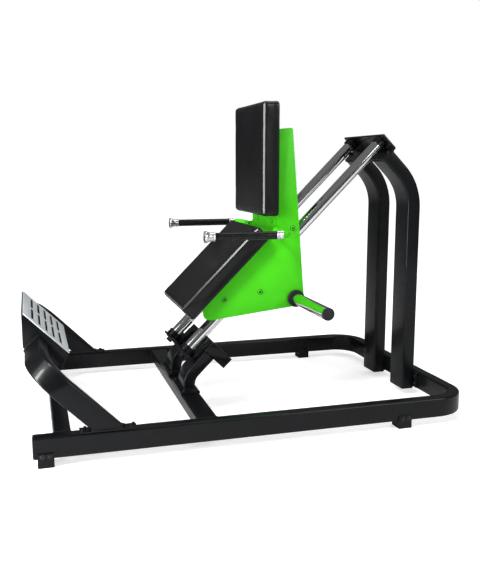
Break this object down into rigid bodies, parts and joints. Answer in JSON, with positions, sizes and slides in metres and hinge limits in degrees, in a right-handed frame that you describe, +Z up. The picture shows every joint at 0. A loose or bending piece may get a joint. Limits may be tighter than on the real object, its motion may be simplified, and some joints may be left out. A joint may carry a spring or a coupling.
{
  "type": "leg press machine",
  "caption": "Inclined plate-loaded leg press: a padded seat-and-back carriage with handles and weight horns slides on guide rods over a floor frame, facing a slotted foot plate.",
  "frame": {"origin": "on the floor, under the middle of the machine's bounding box", "axes": "+X from the foot plate towards the uprights, +Z up, +Y completes a right-handed frame; the machine is symmetric about the plane Y = 0"},
  "size_m": [1.7692, 1.1866, 1.299],
  "materials": {
    "black_paint": "satin black powder coat",
    "green_paint": "satin bright green powder coat",
    "chrome": "polished hard chrome",
    "tread_steel": "brushed stainless steel sheet",
    "pad_leather": "black synthetic leather, soft sheen",
    "black_rubber": "matte moulded rubber",
    "board_wood": "dark plywood",
    "bush_bronze": "sintered bronze"
  },
  "bodies": {
    "frame": {"base_frame": "black_paint", "front_cross_tube": "black_paint", "middle_cross_tube": "black_paint", "foot_bracket_front_left": "black_paint", "foot_bracket_front_right": "black_paint", "foot_bracket_rear_left": "black_paint", "foot_bracket_rear_right": "black_paint", "foot_leg_left": "black_paint", "foot_leg_right": "black_paint", "foot_leg_flange_left": "black_paint", "foot_leg_flange_right": "black_paint", "foot_plate_box": "black_paint", "upright_left": "black_paint", "upright_right": "black_paint", "upright_base_plate_left": "black_paint", "upright_base_plate_right": "black_paint", "top_bracket": "black_paint", "rod_collar_lower_left": "black_paint", "rod_collar_lower_right": "black_paint", "rod_collar_upper_left": "black_paint", "rod_collar_upper_right": "black_paint", "rod_lower_plate": "black_paint", "post_left": "black_paint", "post_right": "black_paint", "post_flange_left": "black_paint", "post_flange_right": "black_paint", "stop_block_left": "black_paint", "stop_block_right": "black_paint", "stop_clamp_left": "black_paint", "stop_clamp_right": "black_paint", "guide_rod_left": "chrome", "guide_rod_right": "chrome", "foot_plate_tread": "tread_steel"},
    "carriage": {"carriage_side_plate_left": "green_paint", "carriage_side_plate_right": "green_paint", "carriage_cover": "green_paint", "handle_bar_left": "green_paint", "handle_bar_right": "green_paint", "carriage_cross_tube_lower": "black_paint", "carriage_cross_tube_upper": "black_paint", "bearing_housing_left": "black_paint", "bearing_housing_right": "black_paint", "bush_lower_left": "bush_bronze", "bush_lower_right": "bush_bronze", "bush_upper_left": "bush_bronze", "bush_upper_right": "bush_bronze", "seat_pad": "pad_leather", "back_pad": "pad_leather", "seat_board": "board_wood", "back_board": "board_wood", "weight_horn_left": "chrome", "weight_horn_right": "chrome", "handle_knob_left": "chrome", "handle_knob_right": "chrome", "weight_horn_collar_left": "black_rubber", "weight_horn_collar_right": "black_rubber", "weight_horn_cap_left": "black_rubber", "weight_horn_cap_right": "black_rubber", "handle_grip_left": "black_rubber", "handle_grip_right": "black_rubber"}
  },
  "joints": [
    {"name": "carriage_slide", "type": "slide", "parent": "frame", "child": "carriage", "axis": [0.7071, 0, 0.7071], "range_m": [-0.14, 0.48]}
  ]
}
